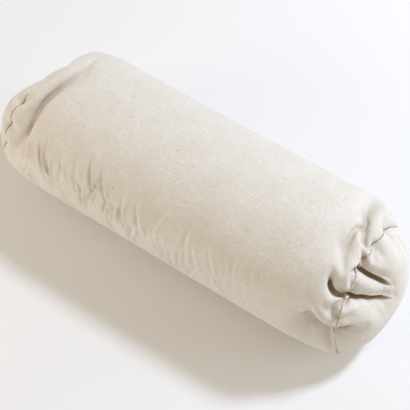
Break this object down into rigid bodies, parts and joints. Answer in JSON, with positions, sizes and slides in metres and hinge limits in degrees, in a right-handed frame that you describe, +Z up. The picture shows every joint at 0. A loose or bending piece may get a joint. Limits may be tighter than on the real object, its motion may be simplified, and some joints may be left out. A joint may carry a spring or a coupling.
{
  "type": "bolster pillow",
  "caption": "Round cylindrical bolster pillow in natural calico, with puckered end seams, domed end panels and a rolled cotton filling.",
  "frame": {"origin": "under the middle of the pillow, on the surface it lies on", "axes": "+X along the pillow's axis, +Z up, the long seam at the back on the +Y side"},
  "size_m": [0.456, 0.152, 0.148],
  "materials": {
    "calico": "matte unbleached plain weave",
    "thread": "matte cotton thread",
    "cotton_filling": "matte loose fibre"
  },
  "bodies": {
    "root": {"tube_panel": "calico", "left_end_panel": "calico", "right_end_panel": "calico", "left_seam_needle_thread": "thread", "left_seam_bobbin_thread": "thread", "right_seam_needle_thread": "thread", "right_seam_bobbin_thread": "thread", "long_seam_needle_thread": "thread", "long_seam_bobbin_thread": "thread", "closing_thread": "thread", "batting_roll": "cotton_filling", "left_end_wad": "cotton_filling", "right_end_wad": "cotton_filling"}
  },
  "joints": []
}
